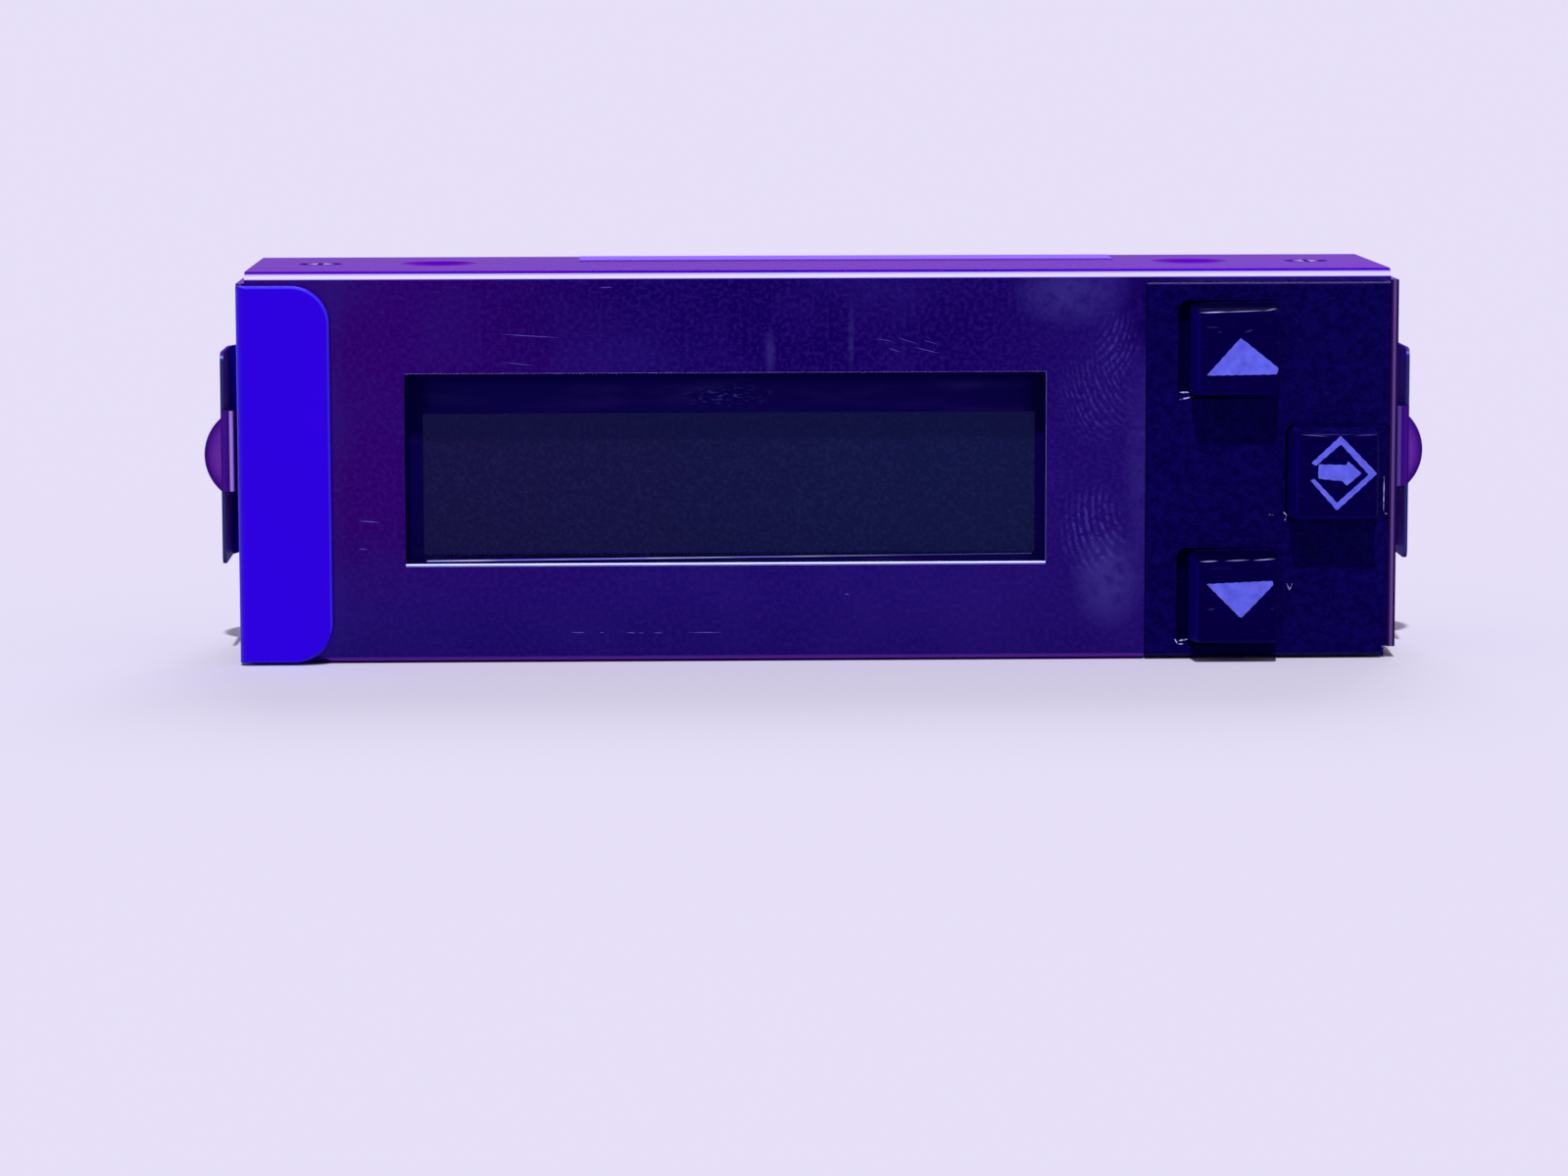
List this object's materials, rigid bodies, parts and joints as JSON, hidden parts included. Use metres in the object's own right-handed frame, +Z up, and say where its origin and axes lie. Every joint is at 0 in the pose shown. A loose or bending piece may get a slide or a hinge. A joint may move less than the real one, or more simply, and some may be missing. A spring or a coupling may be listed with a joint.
{
  "type": "lcd operator panel",
  "caption": "Folded bright-steel operator panel module with a recessed character display, a blue touch tab, push buttons in a black bezel and sprung side detents.",
  "frame": {"origin": "on the underside, below the middle of the part's box", "axes": "+X to the right along the front, +Y from the front to the back, +Z up"},
  "size_m": [0.1298, 0.031, 0.041],
  "materials": {
    "bright_steel": "bright plated sheet with a fine rolled grain, fingerprints and short scratches",
    "spring_steel": "bright spring strip, smooth",
    "fastener_steel": "plated, satin",
    "blue_plastic": "smooth moulded, semi-gloss",
    "label_paper": "bare self-adhesive paper",
    "black_bezel_plastic": "moulded, fine spark-eroded grain",
    "black_cap_plastic": "moulded, worn satin",
    "white_plastic": "moulded",
    "switch_plastic": "moulded",
    "black_painted_steel": "black paint with light scuffs",
    "lcd_glass": "polarised, unlit",
    "contact_rubber": "layered silicone",
    "circuit_board": "green solder mask",
    "chip_epoxy": "moulded epoxy",
    "connector_plastic": "moulded",
    "pin_brass": "plated",
    "capacitor_can": "drawn can"
  },
  "bodies": {
    "module": {"front_cover": "bright_steel", "rear_chassis": "bright_steel", "cover_screws": "fastener_steel", "touch_tab": "blue_plastic", "top_label": "label_paper", "left_detent_spring": "spring_steel", "right_detent_spring": "spring_steel", "spring_rivets": "fastener_steel", "button_bezel": "black_bezel_plastic", "up_switch_body": "switch_plastic", "enter_switch_body": "switch_plastic", "down_switch_body": "switch_plastic", "lcd_frame": "black_painted_steel", "lcd_front_glass": "lcd_glass", "lcd_rear_glass": "lcd_glass", "lcd_contact_strips": "contact_rubber", "lcd_backlight": "white_plastic", "lcd_board": "circuit_board", "lcd_driver_blobs": "chip_epoxy", "lcd_header_strip": "connector_plastic", "lcd_header_pins": "pin_brass", "lcd_spacers": "pin_brass", "lcd_screws": "fastener_steel", "main_board": "circuit_board", "board_standoffs": "fastener_steel", "board_screws": "fastener_steel", "controller_chip": "chip_epoxy", "memory_chip": "chip_epoxy", "capacitors": "capacitor_can", "cable_header": "connector_plastic", "cable_header_pins": "pin_brass"},
    "up_button": {"up_button_cap": "black_cap_plastic", "up_switch_plunger": "white_plastic"},
    "enter_button": {"enter_button_cap": "black_cap_plastic", "enter_switch_plunger": "white_plastic"},
    "down_button": {"down_button_cap": "black_cap_plastic", "down_switch_plunger": "white_plastic"}
  },
  "joints": [
    {"name": "up_press", "type": "slide", "parent": "module", "child": "up_button", "axis": [0, 1, 0], "range_m": [0, 0.0005], "stiffness_N_per_m": 2000},
    {"name": "enter_press", "type": "slide", "parent": "module", "child": "enter_button", "axis": [0, 1, 0], "range_m": [0, 0.0005], "stiffness_N_per_m": 2000},
    {"name": "down_press", "type": "slide", "parent": "module", "child": "down_button", "axis": [0, 1, 0], "range_m": [0, 0.0005], "stiffness_N_per_m": 2000}
  ]
}
